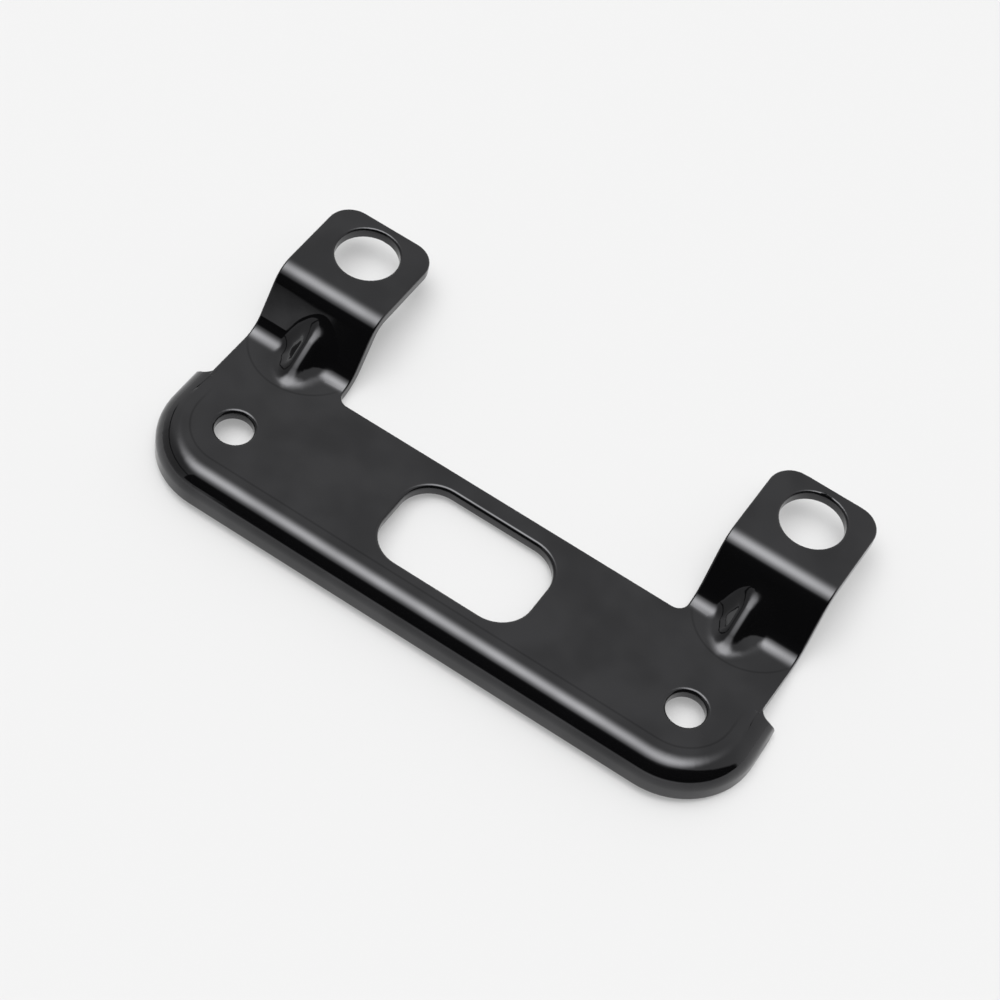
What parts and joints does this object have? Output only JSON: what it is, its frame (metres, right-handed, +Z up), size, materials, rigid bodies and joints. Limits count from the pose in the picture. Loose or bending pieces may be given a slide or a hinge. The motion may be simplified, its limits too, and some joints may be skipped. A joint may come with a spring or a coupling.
{
  "type": "speedometer bracket",
  "caption": "Pressed steel bracket for a motorbike speedometer: a flanged pan with fixing holes and a window, and two stepped arms with gauge holes and pressed darts.",
  "frame": {"origin": "top face of the pan, midway between the two fixing holes", "axes": "X along the pan, Y to the rear, towards the arms, Z up out of the pan's top face"},
  "size_m": [0.1124, 0.0566, 0.017],
  "materials": {
    "black_paint": "gloss"
  },
  "bodies": {
    "root": {"bracket": "black_paint"}
  },
  "joints": []
}
